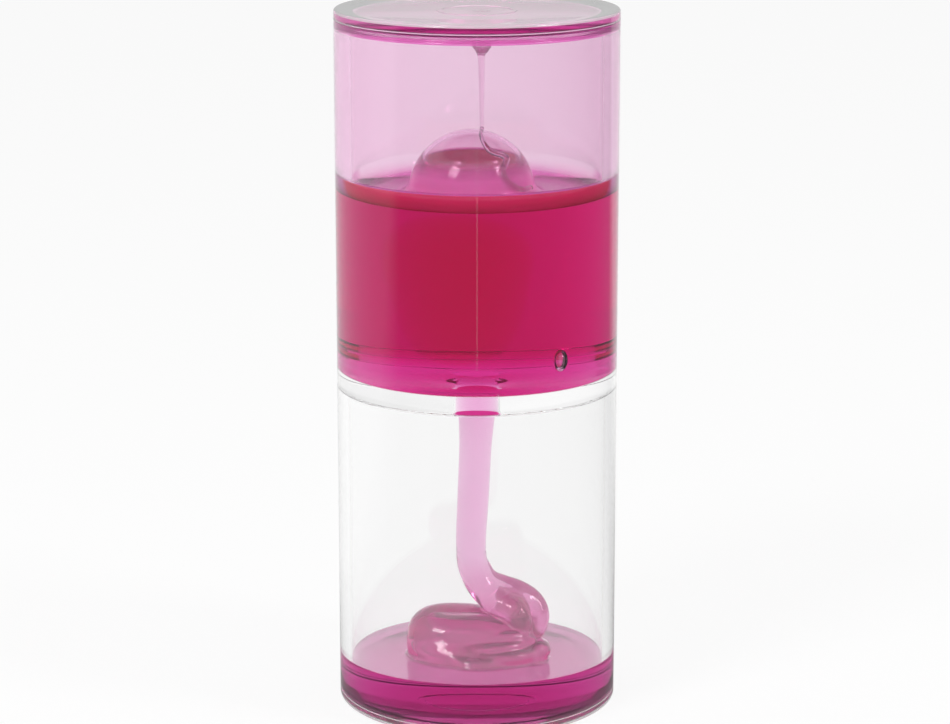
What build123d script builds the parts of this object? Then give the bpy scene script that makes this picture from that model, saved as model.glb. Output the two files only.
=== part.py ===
from build123d import *
import os
from math import atan, degrees, radians, tan

# Liquid motion timer: a closed clear cylinder in two chambers, with a thick liquid that drains
# from the upper one to the lower one. Millimetres, +Z up, origin at the centre of the base.

# Shell
body_diameter = 60.0
body_height = 150.0
tube_wall = 2.35
cap_thickness = 1.8
cap_edge_round = 0.5
recess_depth = 0.5
recess_mouth_diameter = 53.6
recess_floor_diameter = 49.8
centre_ring_diameter = 17.0
centre_ring_width = 1.2
centre_ring_height = 0.15

# Divider, and the lower chamber's share of the height inside
lower_chamber_share = 0.4775
divider_thickness = 4.2
flow_hole_diameter = 6.2
flow_hole_round = 0.6
air_hole_diameter = 1.6
air_hole_circle = 47.0
air_hole_bearing = -50.0

# Stopper, in a hole beside the middle of the top cap
filler_offset = 1.0
plug_diameter = 4.0
plug_length = 8.8
plug_tip_diameter = 2.8
plug_tip_length = 1.2
plug_fit = 0.03

# Cement bead in the inner corner of each joint
cement_leg = 0.5

# Clearances: liquid to the walls round it, and one moving level to what it meets
skin_gap = 0.03
level_gap = 0.2

# Liquid in the upper chamber, which is half full
upper_fill_share = 0.5
surface_layer = 1.0
meniscus_height = 4.6
film_thickness = 1.15
residue_depth = 2.5
residue_skin = 0.9

# Air bubble in the upper liquid, beside the wall
small_bubble_width = 3.2
small_bubble_height = 4.7
small_bubble_lift = 5.5
small_bubble_circle = 50.0

# Air bubble on the upper surface, and the thread that falls on it
dome_diameter = 27.0
dome_height = 13.3
dome_skin = 0.8
dome_flare = 3.5
dome_offset = -1.1
air_floor = 0.75
air_round = 4.5
thread_top_diameter = 1.6
thread_foot_diameter = 0.9
thread_lift = 0.35
# Directions of the folded thread's points from the dome's centre, as shares of its radius
fold_point_shares = [
    (0.15, 0.00, 1.00),
    (0.16, -0.40, 0.95),
    (0.28, -0.62, 0.78),
    (0.53, -0.60, 0.67),
    (0.48, -0.78, 0.48),
    (0.56, -0.82, 0.32),
    (0.74, -0.70, 0.19),
    (0.90, -0.49, 0.17),
]

# Stream below the divider
stream_mouth_diameter = 9.0
stream_shoulder_diameter = 8.1
stream_neck_diameter = 6.9
stream_diameter = 6.5
stream_shoulder_share = 0.16
stream_neck_share = 0.40
stream_drift = -1.3

# Liquid in the lower chamber: its surface still leans, higher at the front than at the back
lower_liquid_depth = 7.55
lower_surface_drop = 3.4
still_depth = 5.4

# Pile of coiled liquid on the lower surface: a wide coil, a narrower one on it, and the rounded
# liquid that fills them. Heights are over the pool's level, shifts to the right and to the front.
wide_coil_diameter = 21.6
wide_coil_rope = 7.4
wide_coil_height = 1.85
wide_coil_right = 0.4
wide_coil_front = 3.2
narrow_coil_diameter = 14.4
narrow_coil_rope = 8.4
narrow_coil_height = 5.2
narrow_coil_left = 3.2
narrow_coil_front = 2.5
filling_rise = 0.3
crown_rise = 0.2

# Fold at the stream's foot: its top over the pool's level and its reach from the axis, and its
# points as shares of the reach, of the reach and of the top's height
fold_top_height = 22.5
fold_reach = 12.4
stream_fold_shares = [
    (-0.105, 0.00, 0.811),
    (0.113, 0.00, 0.660),
    (0.613, -0.113, 0.567),
    (0.984, -0.371, 0.420),
    (1.000, -0.548, 0.198),
    (0.806, -0.645, 0.082),
]

# Largest share of a run that the arc at its corner may take
arc_run_share = 0.45

# Places that follow from the sizes above
body_radius = body_diameter / 2
bore_radius = body_radius - tube_wall
liquid_radius = bore_radius - skin_gap
lid_underside = body_height - cap_thickness
chambers_height = lid_underside - cap_thickness - divider_thickness
divider_base = cap_thickness + chambers_height * lower_chamber_share
divider_top = divider_base + divider_thickness
plug_tip_height = body_height - recess_depth - plug_length
upper_level = divider_top + (lid_underside - divider_top) * upper_fill_share
layer_base = upper_level - surface_layer
film_radius = bore_radius - film_thickness
residue_edge = lid_underside - residue_depth
lower_level = cap_thickness + lower_liquid_depth
still_top = cap_thickness + still_depth
lean_angle = degrees(atan(lower_surface_drop / (2 * bore_radius)))
stream_radius = stream_diameter / 2
fold_top = lower_level + fold_top_height


def turned(*lines):
    """Solid of revolution round Z from a closed outline of radius and height."""
    return revolve(make_face(Plane.XZ * Curve(list(lines))), Axis.Z)


def ring(outer, inner, bottom, top):
    """Plain ring between two radii and two heights."""
    height = top - bottom
    middle = (top + bottom) / 2
    return Pos(0, 0, middle) * (Cylinder(outer, height) - Cylinder(inner, height))


def disc(radius, bottom, top):
    """Plain disc between two heights."""
    return Pos(0, 0, (top + bottom) / 2) * Cylinder(radius, top - bottom)


def corner_radii(points):
    """Largest smooth arc at each corner of a route that its runs leave room for."""
    radii = []
    for before, here, after in zip(points, points[1:], points[2:]):
        run_in = Vector(here) - Vector(before)
        run_out = Vector(after) - Vector(here)
        shorter = min(run_in.length, run_out.length)
        half_turn = radians(run_in.get_angle(run_out) / 2)
        radii.append(arc_run_share * shorter / tan(half_turn))
    return radii


def rope(points, radius):
    """Round rope of liquid along straight runs joined by tangent arcs."""
    radii = corner_radii(points)
    print("rope radii", [round(value, 2) for value in radii])
    route = FilletPolyline(*points, radius=radii)
    section = Plane(route @ 0, z_dir=route % 0) * Circle(radius)
    return sweep(section, path=route)


def tube(bottom, top):
    """One chamber's wall."""
    return ring(body_radius, bore_radius, bottom, top)


def cap():
    """End disc in the top position, with its recess and centre ring."""
    blank = disc(body_radius, lid_underside, body_height)
    blank = fillet(blank.edges().sort_by(Axis.Z)[-1], cap_edge_round)
    mouth_radius = recess_mouth_diameter / 2
    floor_radius = recess_floor_diameter / 2
    floor = body_height - recess_depth
    recess = turned(
        Polyline(
            (0, floor),
            (floor_radius, floor),
            (mouth_radius, body_height),
            (0, body_height),
            close=True,
        )
    )
    ring_radius = centre_ring_diameter / 2
    raised = ring(ring_radius, ring_radius - centre_ring_width, floor, floor + centre_ring_height)
    return blank - recess + raised


def filler_hole():
    """Hole for the stopper through the top cap."""
    return Pos(filler_offset, 0, 0) * disc(plug_diameter / 2 + plug_fit, lid_underside, body_height)


def plug():
    """Stopper: flush with the recess, with a tapered end in the chamber."""
    radius = plug_diameter / 2
    top = body_height - recess_depth
    outline = Polyline(
        (0, top),
        (radius, top),
        (radius, plug_tip_height + plug_tip_length),
        (plug_tip_diameter / 2, plug_tip_height),
        (0, plug_tip_height),
        close=True,
    )
    return Pos(filler_offset, 0, 0) * turned(outline)


def turned_over(piece):
    """The same piece at the other end of the body, as if the body were turned over."""
    return Pos(0, 0, body_height) * (Rot(X=180) * piece)


def divider():
    """Clear disc between the tubes, with the flow hole and the air hole."""
    middle = (divider_base + divider_top) / 2
    plate = Pos(0, 0, middle) * Cylinder(body_radius, divider_thickness)
    plate -= Pos(0, 0, middle) * Cylinder(flow_hole_diameter / 2, divider_thickness)
    mouths = plate.edges().filter_by(GeomType.CIRCLE).group_by(SortBy.RADIUS)[0]
    plate = fillet(mouths, flow_hole_round)
    air_hole = Cylinder(air_hole_diameter / 2, divider_thickness)
    return plate - Rot(Z=air_hole_bearing) * Pos(air_hole_circle / 2, 0, middle) * air_hole


def cement(corner, upward):
    """Bead of cement in the corner between the bore and a flat face at the height given."""
    rise = cement_leg if upward else -cement_leg
    outline = Polyline(
        (bore_radius, corner),
        (bore_radius - cement_leg, corner),
        (bore_radius, corner + rise),
        close=True,
    )
    return turned(outline)


def upper_liquid():
    """Pool over the divider, up to its surface layer, with a small air bubble."""
    bead = cement_leg + skin_gap
    pool = turned(
        Polyline(
            (0, layer_base),
            (0, divider_top),
            (liquid_radius - bead, divider_top),
            (liquid_radius, divider_top + bead),
            (liquid_radius, layer_base),
            close=True,
        )
    )
    bubble_radius = small_bubble_width / 2
    stretch = small_bubble_height / small_bubble_width
    bubble = scale(Sphere(bubble_radius), by=(1, 1, stretch))
    place = Pos(small_bubble_circle / 2, 0, divider_top + small_bubble_lift)
    return pool - Rot(Z=air_hole_bearing) * place * bubble


def upper_surface():
    """Top layer of the upper pool, with the rim that climbs the wall."""
    foot = film_radius - meniscus_height
    rim = upper_level + meniscus_height
    sides = Polyline(
        (foot, upper_level),
        (0, upper_level),
        (0, layer_base),
        (liquid_radius, layer_base),
        (liquid_radius, rim),
        (film_radius, rim),
    )
    climb = RadiusArc((foot, upper_level), (film_radius, rim), -meniscus_height)
    return turned(sides, climb)


def wall_film():
    """Liquid left on the upper tube's wall, from the pool's rim to the residue under the lid."""
    return ring(liquid_radius, film_radius, upper_level + meniscus_height, residue_edge)


def lid_residue():
    """Liquid that clings under the lid, thick at the wall and thin in the middle."""
    bead = cement_leg + skin_gap
    curve = residue_depth - residue_skin
    skin_height = lid_underside - residue_skin
    sides = Polyline(
        (film_radius - curve, skin_height),
        (0, skin_height),
        (0, lid_underside),
        (liquid_radius - bead, lid_underside),
        (liquid_radius, lid_underside - bead),
        (liquid_radius, residue_edge),
        (film_radius, residue_edge),
    )
    corner = RadiusArc((film_radius - curve, skin_height), (film_radius, residue_edge), curve)
    layer = turned(sides, corner)
    hole = disc(plug_diameter / 2 + plug_fit, skin_height, lid_underside)
    return layer - Pos(filler_offset, 0, 0) * hole


def dome_sphere_radius():
    """Radius of the sphere that the bubble's dome is a part of."""
    base = dome_diameter / 2
    return (base * base + dome_height * dome_height) / (2 * dome_height)


def dome_centre_height():
    """Height of that sphere's centre."""
    return upper_level + level_gap + dome_height - dome_sphere_radius()


def surface_bubble():
    """Domed film of the large bubble, flaring where it meets the upper surface."""
    outer = dome_sphere_radius()
    inner = outer - dome_skin
    centre = dome_centre_height()
    foot = upper_level + level_gap
    floor = foot + air_floor

    flare_rise = foot + dome_flare - centre
    flare_reach = ((outer + dome_flare) ** 2 - flare_rise**2) ** 0.5
    outer_share = outer / (outer + dome_flare)
    outer_joint = (flare_reach * outer_share, centre + flare_rise * outer_share)

    round_rise = floor + air_round - centre
    round_reach = ((inner - air_round) ** 2 - round_rise**2) ** 0.5
    inner_share = inner / (inner - air_round)
    inner_joint = (round_reach * inner_share, centre + round_rise * inner_share)

    film = turned(
        RadiusArc((0, centre + outer), outer_joint, outer),
        RadiusArc(outer_joint, (flare_reach, foot), -dome_flare),
        Polyline((flare_reach, foot), (round_reach, foot), (round_reach, floor)),
        RadiusArc((round_reach, floor), inner_joint, -air_round),
        RadiusArc(inner_joint, (0, centre + inner), -inner),
        Line((0, centre + inner), (0, centre + outer)),
    )
    return Pos(dome_offset, 0, 0) * film


def folded_thread():
    """End of the thread, lying in folds over the bubble."""
    radius = dome_sphere_radius()
    centre = Vector(dome_offset, 0, dome_centre_height())
    foot_radius = thread_foot_diameter / 2
    reach = radius + foot_radius + thread_lift
    points = [centre + Vector(*shares).normalized() * reach for shares in fold_point_shares]
    return rope([tuple(point) for point in points], foot_radius)


def drip_thread():
    """Thread from the stopper's end down to the bubble."""
    radius = dome_sphere_radius()
    sideways = filler_offset - dome_offset
    crown = dome_centre_height() + (radius**2 - sideways**2) ** 0.5
    foot = crown + thread_foot_diameter + 2 * thread_lift
    length = plug_tip_height - foot
    thread = Cone(thread_foot_diameter / 2, thread_top_diameter / 2, length)
    return Pos(filler_offset, 0, foot + length / 2) * thread


def orifice_liquid():
    """Liquid that fills the flow hole."""
    radius = flow_hole_diameter / 2 - skin_gap
    return disc(radius, divider_base, divider_top)


def falling_stream():
    """Stream from the divider to the fold, narrowing below its mouth and drifting aside."""
    foot = fold_top + level_gap
    length = divider_base - foot
    shoulder = divider_base - length * stream_shoulder_share
    neck = divider_base - length * stream_neck_share
    sections = [
        Pos(0, 0, divider_base) * Circle(stream_mouth_diameter / 2),
        Pos(0, 0, shoulder) * Circle(stream_shoulder_diameter / 2),
        Pos(stream_drift / 3, 0, neck) * Circle(stream_neck_diameter / 2),
        Pos(stream_drift, 0, foot) * Circle(stream_radius),
    ]
    return loft(sections)


def above_lean(level):
    """Everything over the leaning surface that crosses the axis at the level given."""
    reach = 2 * body_diameter
    half_space = Pos(0, 0, reach) * Box(2 * reach, 2 * reach, 2 * reach)
    return Pos(0, 0, level) * (Rot(X=-lean_angle) * half_space)


def lower_liquid():
    """Level part of the lower pool, clear of the cement."""
    bead = cement_leg + skin_gap
    return turned(
        Polyline(
            (0, still_top),
            (0, cap_thickness),
            (liquid_radius - bead, cap_thickness),
            (liquid_radius, cap_thickness + bead),
            (liquid_radius, still_top),
            close=True,
        )
    )


def lower_surface():
    """Top of the lower pool, up to its leaning surface."""
    block = disc(liquid_radius, still_top, lower_level + lower_liquid_depth)
    return block - above_lean(lower_level)


def coil(diameter, rope_width, rise):
    """One closed coil of liquid rope, with the liquid that fills it standing higher by rise."""
    radius = diameter / 2
    height = rope_width / 2 + rise
    filling = scale(Sphere(radius), by=(1, 1, height / radius))
    return Torus(radius, rope_width / 2) + filling


def pile_solid():
    """Both coils of the pile, before they are cut at the surface."""
    wide = coil(wide_coil_diameter, wide_coil_rope, filling_rise)
    narrow = coil(narrow_coil_diameter, narrow_coil_rope, crown_rise)
    wide = Pos(wide_coil_right, -wide_coil_front, lower_level + wide_coil_height) * wide
    narrow = Pos(-narrow_coil_left, -narrow_coil_front, lower_level + narrow_coil_height) * narrow
    return wide + narrow


def coil_pile():
    """Pile of coiled liquid, standing on the lower surface."""
    return pile_solid() & above_lean(lower_level + level_gap)


def stream_fold():
    """Foot of the stream, folding over to the right and down the front of the pile."""
    points = [(stream_drift, 0, fold_top)]
    for right_share, front_share, rise_share in stream_fold_shares:
        height = lower_level + fold_top_height * rise_share
        points.append((fold_reach * right_share, fold_reach * front_share, height))
    return rope(points, stream_radius) - pile_solid() & above_lean(lower_level + level_gap)


nodes = {
    "lower_tube": tube(cap_thickness, divider_base),
    "upper_tube": tube(divider_top, lid_underside),
    "divider_plate": divider(),
    "top_cap": cap() - filler_hole(),
    "bottom_cap": turned_over(cap()),
    "top_filler_plug": plug(),
    "top_cap_cement": cement(lid_underside, False),
    "upper_divider_cement": cement(divider_top, True),
    "lower_divider_cement": cement(divider_base, False),
    "bottom_cap_cement": cement(cap_thickness, True),
    "upper_liquid": upper_liquid(),
    "upper_surface": upper_surface(),
    "wall_film": wall_film(),
    "lid_residue": lid_residue(),
    "drip_thread": drip_thread(),
    "surface_bubble": surface_bubble(),
    "folded_thread": folded_thread(),
    "orifice_liquid": orifice_liquid(),
    "falling_stream": falling_stream(),
    "stream_fold": stream_fold(),
    "coil_pile": coil_pile(),
    "lower_surface": lower_surface(),
    "lower_liquid": lower_liquid(),
}

os.makedirs("parts", exist_ok=True)
for name, shape in nodes.items():
    print(name, round(shape.volume, 1), len(shape.solids()))
    export_step(shape, f"parts/{name}.step")
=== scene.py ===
from math import atan2, cos, degrees, pi, radians, sin, sqrt, tan

import bpy
import numpy as np
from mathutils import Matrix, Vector


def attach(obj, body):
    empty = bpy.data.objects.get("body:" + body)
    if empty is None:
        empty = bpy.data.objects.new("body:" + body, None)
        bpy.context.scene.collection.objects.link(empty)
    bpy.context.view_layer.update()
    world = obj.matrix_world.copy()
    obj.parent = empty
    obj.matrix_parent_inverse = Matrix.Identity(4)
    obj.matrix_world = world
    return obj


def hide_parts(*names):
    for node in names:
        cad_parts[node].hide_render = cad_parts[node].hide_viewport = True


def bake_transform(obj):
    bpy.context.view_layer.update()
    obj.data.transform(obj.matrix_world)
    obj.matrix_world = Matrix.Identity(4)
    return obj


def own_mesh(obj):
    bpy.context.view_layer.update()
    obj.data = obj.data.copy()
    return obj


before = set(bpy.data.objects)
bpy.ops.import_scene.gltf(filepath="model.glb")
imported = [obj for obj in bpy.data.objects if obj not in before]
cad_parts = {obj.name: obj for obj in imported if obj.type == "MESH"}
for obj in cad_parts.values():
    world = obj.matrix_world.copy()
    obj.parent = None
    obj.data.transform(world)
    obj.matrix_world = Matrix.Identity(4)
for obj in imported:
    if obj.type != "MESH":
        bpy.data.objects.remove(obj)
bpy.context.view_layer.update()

# Sizes are in millimetres, as in the drawing, and become metres in the meshes
MM = 0.001

# Shell
BODY_R = 30.0
BORE_R = 27.65
FILM_R = 26.5
BASE_TOP = 1.8
LID_BOTTOM = 148.2
BODY_TOP = 150.0
PLATE_BOTTOM = 69.7
PLATE_TOP = 73.9
RIM_ROUND = 0.5
RECESS_DEPTH = 0.5
RECESS_MOUTH_R = 26.8
RECESS_FLOOR_R = 24.9
RING_R = 8.5
RING_WIDTH = 1.2
RING_HEIGHT = 0.15
RING_SLOPE = 0.12
SEAM_GROOVE = 0.06
LID_GROOVE = 0.12
FLOW_HOLE_R = 3.1
FLOW_ROUND = 0.6
FLOW_MOUTH_R = FLOW_HOLE_R + FLOW_ROUND
PLUG_X = 1.0
PLUG_R = 2.0
PLUG_TIP_R = 1.4
PLUG_LENGTH = 8.8
PLUG_TAPER = 1.2
PLUG_TIP_ROUND = 0.5
PLUG_TOP = BODY_TOP - RECESS_DEPTH
PLUG_FOOT = PLUG_TOP - PLUG_LENGTH
CEMENT = 0.5
CEMENT_HOLLOW = 0.35

# Gap between two faces that lie on each other
HAIR = 0.02
LIQUID_R = BORE_R - HAIR

# Thickness of the dry inside of the lower tube, and the height below which it follows the pool
LINING = 0.1

# Both levels, and the lean of the lower pool's surface
UPPER_LEVEL = 111.05
LOWER_LEVEL = 9.35
LEAN = radians(3.52)

# Upper liquid
MENISCUS = 4.6
RIM_TOP = UPPER_LEVEL + MENISCUS
RESIDUE_EDGE = 145.7
RESIDUE_SKIN = 147.3
DOME_X = -1.1
DOME_R = 13.5
DOME_SKIN = 0.8
DOME_FLARE = 3.5
AIR_FLOOR = 0.95
AIR_ROUND = 4.5
BUBBLE_PLACE = (16.07, -19.15)
BUBBLE_HEIGHT = 79.4
BUBBLE_SIZE = (1.6, 2.35)

# Thread on the bubble
THREAD_TOP = PLUG_FOOT + 0.1
THREAD_FOOT = 124.6
THREAD_LIFT = 0.35
FOLD_SPREAD = 0.2

# Lower liquid
STREAM_MOUTH_R = 4.5
STREAM_FOOT = 32.05
COIL_TOP = 19.0
FOLD_FOOT = 30.0

# Cells of the lower liquid's mesh, the box that they fill, and how near to an edge a point moves
# onto it. The box starts off the round numbers, so that no cell's corner lies on the surface.
GRID = 0.36
GRID_LOW = (-28.013, -28.007, 1.31)
GRID_HIGH = (28.0, 28.0, 32.6)
EDGE_REACH = 0.27
HEAP_REACH = 21.0
HEAP_FOOT = 4.0
FAR_AWAY = 20.0

# How near to the wall, the cap or the level surface a face of that mesh still belongs to it
WALL_NEAR = 0.05
CAP_NEAR = 0.1
LEVEL_NEAR = 0.4

# Faces round the body
AROUND = 256

CLEAR_IOR = 1.49
PLATE_IOR = 1.58
LIQUID_IOR = 1.49

WHITE = (1.0, 1.0, 1.0)
EVEN = (1.0, 1.0, 1.0)

# Share of light that a dulled end face and the mould's mark let by, and the place of that mark
DULLED_CLEARNESS = 0.58
MARK_CLEARNESS = 0.94
MARK_HALF_WIDTH = 0.11
MARK_FOOT = 79.5


def principled(name, colour, roughness, ior, transmission=1.0):
    """New material with its Principled shader set, and its node tree."""
    material = bpy.data.materials.new(name)
    material.use_nodes = True
    tree = material.node_tree
    shader = tree.nodes["Principled BSDF"]
    shader.inputs["Base Color"].default_value = (*colour, 1.0)
    shader.inputs["Roughness"].default_value = roughness
    shader.inputs["IOR"].default_value = ior
    shader.inputs["Transmission Weight"].default_value = transmission
    return material, tree, shader


def node(tree, kind, **settings):
    """New node with its settings and unlinked inputs filled in."""
    made = tree.nodes.new(kind)
    for name, value in settings.items():
        if name == "inputs":
            for key, number in value.items():
                made.inputs[key].default_value = number
        else:
            setattr(made, name, value)
    return made


def add_absorption(tree, colour, density):
    """Plain absorption inside a closed piece."""
    absorption = node(
        tree, "ShaderNodeVolumeAbsorption", inputs={"Color": (*colour, 1.0), "Density": density}
    )
    tree.links.new(absorption.outputs["Volume"], tree.nodes["Material Output"].inputs["Volume"])


def object_noise(tree, scale, stretch):
    """Noise that lies still on the object."""
    coordinates = node(tree, "ShaderNodeTexCoord")
    mapping = node(tree, "ShaderNodeMapping", inputs={"Scale": stretch})
    noise = node(tree, "ShaderNodeTexNoise", inputs={"Scale": scale, "Detail": 2.0})
    tree.links.new(coordinates.outputs["Object"], mapping.inputs["Vector"])
    tree.links.new(mapping.outputs["Vector"], noise.inputs["Vector"])
    return noise


def add_tint(tree, shader, scale, stretch, dark, light):
    """Slow change of tint over the surface."""
    noise = object_noise(tree, scale, stretch)
    ramp = node(tree, "ShaderNodeMix", data_type="RGBA")
    ramp.inputs["A"].default_value = (*dark, 1.0)
    ramp.inputs["B"].default_value = (*light, 1.0)
    tree.links.new(noise.outputs["Fac"], ramp.inputs["Factor"])
    tree.links.new(ramp.outputs["Result"], shader.inputs["Base Color"])


def add_waves(tree, shader, scale, height):
    """Slow unevenness of the surface, of a height in millimetres."""
    noise = object_noise(tree, scale, EVEN)
    bump = node(tree, "ShaderNodeBump", inputs={"Strength": 1.0, "Distance": height * MM})
    tree.links.new(noise.outputs["Fac"], bump.inputs["Height"])
    tree.links.new(bump.outputs["Normal"], shader.inputs["Normal"])


def clear_material(name, ior):
    """Clear plastic with the faint streaks of an extruded or moulded wall."""
    material, tree, shader = principled(name, WHITE, 0.0, ior)
    add_tint(tree, shader, scale=300.0, stretch=(1.0, 1.0, 0.02), dark=(0.99, 0.99, 0.99), light=WHITE)
    return material, tree, shader


def marked_material():
    """Clear plastic of the upper tube, with the mark of the mould down its front."""
    material, tree, shader = clear_material("clear_plastic_marked", CLEAR_IOR)
    link = tree.links.new
    coordinates = node(tree, "ShaderNodeTexCoord")
    axes = node(tree, "ShaderNodeSeparateXYZ")
    sideways = node(tree, "ShaderNodeMath", operation="ABSOLUTE")
    narrow = node(tree, "ShaderNodeMath", operation="LESS_THAN", inputs={1: MARK_HALF_WIDTH * MM})
    in_front = node(tree, "ShaderNodeMath", operation="LESS_THAN", inputs={1: 0.0})
    above = node(tree, "ShaderNodeMath", operation="GREATER_THAN", inputs={1: MARK_FOOT * MM})
    both = node(tree, "ShaderNodeMath", operation="MULTIPLY")
    every = node(tree, "ShaderNodeMath", operation="MULTIPLY")
    dulled = node(tree, "ShaderNodeMapRange", inputs={"To Min": 1.0, "To Max": MARK_CLEARNESS})
    link(coordinates.outputs["Object"], axes.inputs[0])
    link(axes.outputs["X"], sideways.inputs[0])
    link(sideways.outputs[0], narrow.inputs[0])
    link(axes.outputs["Y"], in_front.inputs[0])
    link(axes.outputs["Z"], above.inputs[0])
    link(narrow.outputs[0], both.inputs[0])
    link(in_front.outputs[0], both.inputs[1])
    link(both.outputs[0], every.inputs[0])
    link(above.outputs[0], every.inputs[1])
    link(every.outputs[0], dulled.inputs["Value"])
    link(dulled.outputs["Result"], shader.inputs["Transmission Weight"])
    return material


clear = clear_material("clear_plastic", CLEAR_IOR)[0]

# Faces that lie on another clear piece let all light by
bonded, _, bonded_shader = clear_material("clear_plastic_bonded", CLEAR_IOR)
bonded_shader.inputs["Alpha"].default_value = 0.0

# Divider, dry and under the liquid
plate = clear_material("clear_divider", PLATE_IOR)[0]
plate_wet = clear_material("clear_divider_wet", PLATE_IOR / LIQUID_IOR)[0]

marked = marked_material()

# End faces of the caps and bevels at the seams, dulled by handling
dulled_end, _, dulled_shader = clear_material("clear_plastic_dulled", CLEAR_IOR)
dulled_shader.inputs["Transmission Weight"].default_value = DULLED_CLEARNESS

# Kinds of face of the liquid, kept in the attribute CONTACT. A face that lies on another clear
# piece lets all light by. The others are cloudy by a share, given as a negative number. That
# cloud is partly the liquid's milky haze and partly painted light: the glow of light through the
# liquid, painted on the heap, the level, the bubble's foot and floor, and the climbing edge.
CONTACT = "contact"
BONDED = 1
NOT_SET = 0
DOME_CROWN = -0.02
FREE = -0.06
COIL = -0.3
POOL = -0.45
LEVEL = -0.74
DOME_FOOT = -0.78
BUBBLE_FLOOR = -0.8
DOME_BEHIND = -0.91
EDGE = -0.94

# The cloud, partly haze and partly painted light, takes its full colour at this kind, and its
# colour turns to the edge's painted crimson past the bubble's floor
FULL_COLOUR = -0.36
PALE_CLOUD = (1.0, 0.97, 0.99)
# Painted crimson: light on the climbing edge, shade on the bubble's far side
EDGE_COLOUR = (1.0, 0.03, 0.17)
# Cloud colours above and below the divider: partly haze, partly painted glow of light through the
# liquid
DYE_HAZE_AND_LIGHT = (1.0, 0.20, 0.70)
LOWER_HAZE_AND_LIGHT = (0.97, 0.36, 0.68)

# Colour inside the liquid, and how much of it there is
DYE_COLOUR = (0.9, 0.0, 0.64)
DYE_DENSITY = 120.0
CORE_COLOUR = (0.88, 0.2, 0.1)
CORE_DENSITY = 25.0
# Below the divider the dye lets a little more green by, and there is less of it
LOWER_COLOUR = (0.87, 0.08, 0.65)
LOWER_DENSITY = 100.0
FILM_COLOUR = (0.78, 0.0, 0.55)
FILM_DENSITY = 180.0

# Heights over the level where the bubble turns from clear to cloudy, on its near and far sides.
# That cloud is painted light: a purple glow of light through the liquid on the near side, and
# painted shade of darker crimson on the far side.
DOME_CLEAR = 8.5
DOME_FADE = 4.0
FAR_FADE = 0.9

# The climbing edge is full coloured, in painted crimson light, from this share of its height down
EDGE_FADE = 1 / 11

# Where the far side begins, as a share at the axis that grows towards the back
DOME_TURN = 0.4
EDGE_TURN = 0.6


def dyed(name, colour, density, haze_and_light):
    """Dyed liquid, whose faces carry their kind of contact and their cloudiness, which is partly
    haze and partly painted light.
    """
    material, tree, shader = principled(name, WHITE, 0.0, LIQUID_IOR)
    add_waves(tree, shader, scale=60.0, height=0.02)
    add_absorption(tree, colour, density)
    contact = node(tree, "ShaderNodeAttribute", attribute_name=CONTACT)
    kept = node(tree, "ShaderNodeMath", operation="SUBTRACT", use_clamp=True, inputs={0: 1.0})
    clearness = node(tree, "ShaderNodeMath", operation="ADD", use_clamp=True, inputs={0: 1.0})
    depth = node(tree, "ShaderNodeMapRange", inputs={"From Min": FREE, "From Max": FULL_COLOUR})
    redness = node(tree, "ShaderNodeMapRange", inputs={"From Min": BUBBLE_FLOOR, "From Max": EDGE})
    red = node(tree, "ShaderNodeMix", data_type="RGBA")
    red.inputs["B"].default_value = (*EDGE_COLOUR, 1.0)
    shade = node(tree, "ShaderNodeMix", data_type="RGBA")
    shade.inputs["A"].default_value = (*PALE_CLOUD, 1.0)
    shade.inputs["B"].default_value = (*haze_and_light, 1.0)
    tree.links.new(contact.outputs["Fac"], kept.inputs[1])
    tree.links.new(kept.outputs[0], shader.inputs["Alpha"])
    tree.links.new(contact.outputs["Fac"], clearness.inputs[1])
    tree.links.new(clearness.outputs[0], shader.inputs["Transmission Weight"])
    tree.links.new(contact.outputs["Fac"], depth.inputs["Value"])
    tree.links.new(depth.outputs["Result"], shade.inputs["Factor"])
    tree.links.new(contact.outputs["Fac"], redness.inputs["Value"])
    tree.links.new(redness.outputs["Result"], red.inputs["Factor"])
    tree.links.new(shade.outputs["Result"], red.inputs["A"])
    tree.links.new(red.outputs["Result"], shader.inputs["Base Color"])
    return material


liquid = dyed("dyed_liquid", DYE_COLOUR, DYE_DENSITY, DYE_HAZE_AND_LIGHT)
lower_dyed_liquid = dyed("dyed_liquid_below", LOWER_COLOUR, LOWER_DENSITY, LOWER_HAZE_AND_LIGHT)
core_liquid = dyed("dyed_liquid_core", CORE_COLOUR, CORE_DENSITY, DYE_HAZE_AND_LIGHT)
film = dyed("liquid_film", FILM_COLOUR, FILM_DENSITY, DYE_HAZE_AND_LIGHT)


def wavy(name, colour, roughness, ior, transmission, scale, height):
    """Translucent material with an uneven surface."""
    material, tree, shader = principled(name, colour, roughness, ior, transmission)
    add_waves(tree, shader, scale, height)
    return material


# Stopper where it hangs free, and where it lies in the cap and the liquid
STOPPER_SCALE = 900.0
STOPPER_WAVES = 0.01
stopper = wavy(
    "stopper",
    colour=(0.97, 0.74, 0.88),
    roughness=0.12,
    ior=1.5,
    transmission=0.65,
    scale=STOPPER_SCALE,
    height=STOPPER_WAVES,
)
stopper_bonded = wavy(
    "stopper_bonded",
    colour=(0.97, 0.86, 0.92),
    roughness=0.05,
    ior=1.02,
    transmission=1.0,
    scale=STOPPER_SCALE,
    height=STOPPER_WAVES,
)

# Cement, in the air and under the liquid
CEMENT_COLOUR = (1.0, 0.97, 0.98)
CEMENT_SCALE = 1500.0
CEMENT_WAVES = 0.05
cement = wavy(
    "cement",
    colour=CEMENT_COLOUR,
    roughness=0.15,
    ior=1.49,
    transmission=0.95,
    scale=CEMENT_SCALE,
    height=CEMENT_WAVES,
)
sunk_cement = wavy(
    "cement_in_liquid",
    colour=CEMENT_COLOUR,
    roughness=0.05,
    ior=1.0,
    transmission=1.0,
    scale=CEMENT_SCALE,
    height=CEMENT_WAVES,
)


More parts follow.
